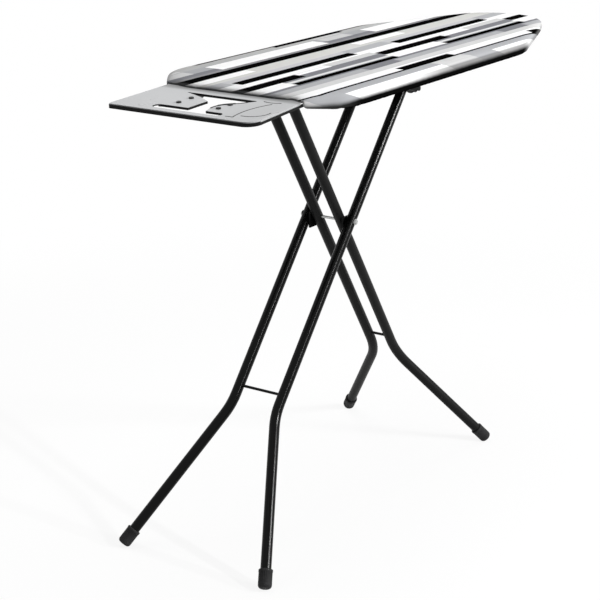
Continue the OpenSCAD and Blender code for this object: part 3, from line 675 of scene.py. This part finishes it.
# a black edging hangs under the lips of the cut-out
edging_top, edging_deep, edging_t = -0.0024, 0.0022, 0.0008
lip_runs = [
    [(39, 75), (41, 68), (41, 8), (100, 6)],
    [(36.5, -36), (36.5, -72)],
    [(137, 74), (139, 82), (142, 82), (142, -78)]
]
bm = bmesh.new()
for run in lip_runs:
    corners = [bm.verts.new((x / 1000, y / 1000, edging_top)) for x, y in run]
    for one, other in zip(corners, corners[1:]):
        bm.edges.new((one, other))
raised(bm, bmesh.ops.extrude_edge_only(bm, edges=bm.edges[:]), -edging_deep)
bmesh.ops.recalc_face_normals(bm, faces=bm.faces)
bmesh.ops.solidify(bm, geom=bm.faces[:], thickness=edging_t)
bmesh.ops.recalc_face_normals(bm, faces=bm.faces)
bmesh.ops.transform(bm, matrix=on_rest, verts=bm.verts)
finished(bm, "rest_edging", "board", frame_coat, smooth=False)

# a small black web joins the lips in the far corner of the back slot
web_top, web_t = -0.0029, 0.0008
web = [(120, 36.5), (136, 75), (140, 83.2), (143, 83), (143, 43)]
bm = bmesh.new()
bm.faces.new([bm.verts.new((x / 1000, y / 1000, web_top)) for x, y in web])
raised(bm, bmesh.ops.extrude_face_region(bm, geom=bm.faces[:]), -web_t)
bmesh.ops.recalc_face_normals(bm, faces=bm.faces)
bmesh.ops.transform(bm, matrix=on_rest, verts=bm.verts)
finished(bm, "rest_web", "board", frame_coat, smooth=False)

# ---------- leg tubes ----------
# Four bent steel tubes, 22 mm across, with a thin crossbar welded between each pair. They are powder
# coated black: glossy on the outer pair, duller on the inner pair, whose coat is painted a little paler as
# painted light.

tube_coat = coated("tube_coat", ink(1), ink(4), 0.18, peel=0.000003, scale=120, Specular_IOR_Level=0.115)
give(tube_coat, "outer_tube_near", "outer_tube_far", "outer_crossbar")
# the inner pair's copy of the black coat is painted paler, painted light for the broad light the inner
# tubes catch
paler_lit_coat = coated(
    "paler_lit_coat", ink(20), ink(27), 0.4, peel=0.00003, scale=260, Specular_IOR_Level=0.08)
give(paler_lit_coat, "inner_tube_near", "inner_tube_far", "inner_crossbar")

# ---------- foot caps ----------
# Moulded black plastic caps pushed over the tube ends: a plain lip, a barrel with fine grooves along
# it for grip, and a round foot that is flat where it meets the floor.

cap_plastic = moulded("cap_plastic", ink(36), ink(48, 48, 49), 0.6, 0.0002)


def foot_cap(name, body, node, side, lean, turn, tops, feet, bend):
    """A cap on the tube that leans by lean from the floor and is splayed from tops to feet apart."""
    tube_r, wall, long, end_t, edge = 0.011, 0.0034, 0.038, 0.007, 0.007
    play, chamfer, lip_h, step = 0.00005, 0.0006, 0.0045, 0.0005
    out = tube_r + wall
    barrel_start, barrel_end = 0.0052, long - edge - 0.001
    around, groove_each = 96, 4
    pivot = Vector((-0.1695, 0, 0.615))
    splay = math.atan((feet - tops) / 2 / (pivot.z / math.sin(lean) - bend))
    upright = math.sin(lean) * math.cos(splay)
    end_z = edge * (1 - upright) + (tube_r + wall - edge) * math.sqrt(1 - upright**2) - 0.0012
    run = ((pivot.z - end_z) / math.sin(lean) - bend) / math.cos(splay)

    profile = [
        (0, long - end_t), (tube_r + play, long - end_t), (tube_r + play, chamfer),
        (tube_r + chamfer, 0), (out - chamfer, 0), (out, chamfer), (out, lip_h),
        (out - step, barrel_start), (out - step, barrel_end)
    ]
    for a in (math.radians(15 * k) for k in range(7)):
        x = out - edge + edge * math.cos(a) - step * math.cos(a)
        profile.append((x, long - edge + edge * math.sin(a)))
    profile.append((0, long))
    bm = bmesh.new()
    rows = [bm.verts.new((r, 0, z)) for r, z in profile]
    for one, other in zip(rows, rows[1:]):
        bm.edges.new((one, other))
    half_section = bm.verts[:] + bm.edges[:]
    bmesh.ops.spin(
        bm, geom=half_section, axis=(0, 0, 1), angle=2 * math.pi, steps=around, use_merge=True)
    bmesh.ops.remove_doubles(bm, verts=bm.verts, dist=same_point)
    bmesh.ops.recalc_face_normals(bm, faces=bm.faces)

    grooves = []
    for face in bm.faces:
        middle = face.calc_center_median()
        half_way = abs(middle.z - (barrel_start + barrel_end) / 2) < 0.0008
        outside = middle.xy.length > tube_r + 0.002
        turned = (math.atan2(middle.y, middle.x) + math.pi) / (2 * math.pi)
        if half_way and outside and round(turned * around - 0.5) % groove_each == 0:
            grooves.append(face)
    bmesh.ops.inset_individual(bm, faces=grooves, thickness=0.0002, depth=-0.0007)

    leant = Matrix.Rotation(turn * (math.pi / 2 - lean), 4, "Y")
    at_bend = Matrix.Translation((0, tops / 2, -bend))
    splayed = Matrix.Rotation(math.pi + splay, 4, "X")
    at_end = Matrix.Translation((0, 0, run - long))
    standing = Matrix.Translation(pivot) @ leant @ at_bend @ splayed @ at_end
    bmesh.ops.transform(bm, matrix=standing, verts=bm.verts)
    whole = bm.verts[:] + bm.edges[:] + bm.faces[:]
    flat = bmesh.ops.bisect_plane(
        bm, geom=whole, plane_co=(0, 0, 0), plane_no=(0, 0, -1), clear_outer=True)["geom_cut"]
    bmesh.ops.holes_fill(bm, edges=[e for e in flat if isinstance(e, bmesh.types.BMEdge)])
    if side < 0:
        bmesh.ops.scale(bm, vec=(1, -1, 1), verts=bm.verts)
    bmesh.ops.recalc_face_normals(bm, faces=bm.faces)
    piece = finished(bm, name, body, cap_plastic)
    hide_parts(node)


# a pair of legs: its lean in degrees and which way, how far its tubes are apart at the crossing and at
# the floor, and how far down the tube from the crossing the splay begins
leg_pairs = [("outer", 50.2, 1, 0.109, 0.359, 0.451), ("inner", 56, -1, 0.056, 0.396, 0.455)]
for side, word in ((1, "far"), (-1, "near")):
    for pair, lean, turn, tops, feet, bend in leg_pairs:
        foot_cap(
            pair + "_foot_" + word, pair + "_legs", pair + "_cap_" + word, side,
            math.radians(lean), turn, tops, feet, bend)

# ---------- floor, backdrop and light ----------
# A plain white floor keeps the object's faint shadow near the feet and runs out to a white surround.
# Three narrow strips beside the board and a broad soft light above it give the light.

full_white = (1, 1, 1, 1)


def in_view(place):
    """1 on rays from the camera, and on those that gloss or glass sends on."""
    kinds = ("Is Camera Ray", "Is Glossy Ray", "Is Transmission Ray")
    camera_ray, glossy_ray, through_ray = (place.node("LightPath", out=kind) for kind in kinds)
    return camera_ray.maths("MAXIMUM", glossy_ray).maths("MAXIMUM", through_ray)


floor_paint, shader, place = new_finish("floor_paint", Roughness=0.9, Specular_IOR_Level=0.1)
shown = in_view(place)
shown.mixed(noise(place, 3, 2).mixed(ink(234), ink(238)), full_white).into(shader, "Base Color")
from_middle = place.node("VectorMath", {"operation": "LENGTH"}, {0: place}, out=1)
glow = place.node("Emission", None, {"Color": full_white, "Strength": 1.0})
glow_share = shown * eased(from_middle, 0.7, 2.2, 0.88, 1.0)
lit = Wire(place.tree, shader.outputs[0])
floor_look = place.node("MixShader", None, {0: glow_share, 1: lit, 2: glow})
floor_look.into(place.tree.nodes["Material Output"], "Surface")

bm = bmesh.new()
bmesh.ops.create_grid(bm, x_segments=1, y_segments=1, size=14)
mesh = bpy.data.meshes.new("floor")
bm.to_mesh(mesh)
bm.free()
mesh.materials.append(floor_paint)
floor = bpy.data.objects.new("floor", mesh)
bpy.context.scene.collection.objects.link(floor)

world = bpy.data.worlds.new("surround")
bpy.context.scene.world = world
world.use_nodes = True
sky = world.node_tree.nodes["Background"]
sky.inputs["Color"].default_value = full_white
(in_view(Wire(world.node_tree, None)) * 0.84 + 0.16).into(sky, "Strength")


def soft_light(name, at, towards, along, wide, tall, watts):
    """An area light turned towards a point, with its long side along a direction."""
    lamp = bpy.data.lights.new(name, "AREA")
    lamp.shape, lamp.size, lamp.size_y, lamp.energy = "RECTANGLE", wide, tall, watts
    holder = bpy.data.objects.new(name, lamp)
    bpy.context.scene.collection.objects.link(holder)
    holder.location = at
    back = (Vector(at) - Vector(towards)).normalized()
    side = Vector(along).cross(back).normalized()
    holder.rotation_euler = Matrix((side, back.cross(side), back)).transposed().to_euler()


# three strips in line with the outer legs give their tubes a thin streak, brightest near the board
along_legs = (0.672, 0.162, 0.723)
soft_light("strip_light", (-0.40, -3.70, 2.15), (-0.3, 0, 0.5), along_legs, 0.12, 1.6, 44)
soft_light("high_light", (0.20, -3.53, 2.85), (0, 0, 0.8), along_legs, 0.10, 0.75, 70)
soft_light("side_light", (0.92, -3.72, 2.16), (0.1, -0.05, 0.8), along_legs, 0.10, 0.75, 75)
soft_light("top_light", (0.4, 0.6, 3.6), (0, 0, 0.9), (0, 1, 0), 2.6, 2.6, 64)

bpy.context.scene.view_settings.view_transform = "Standard"
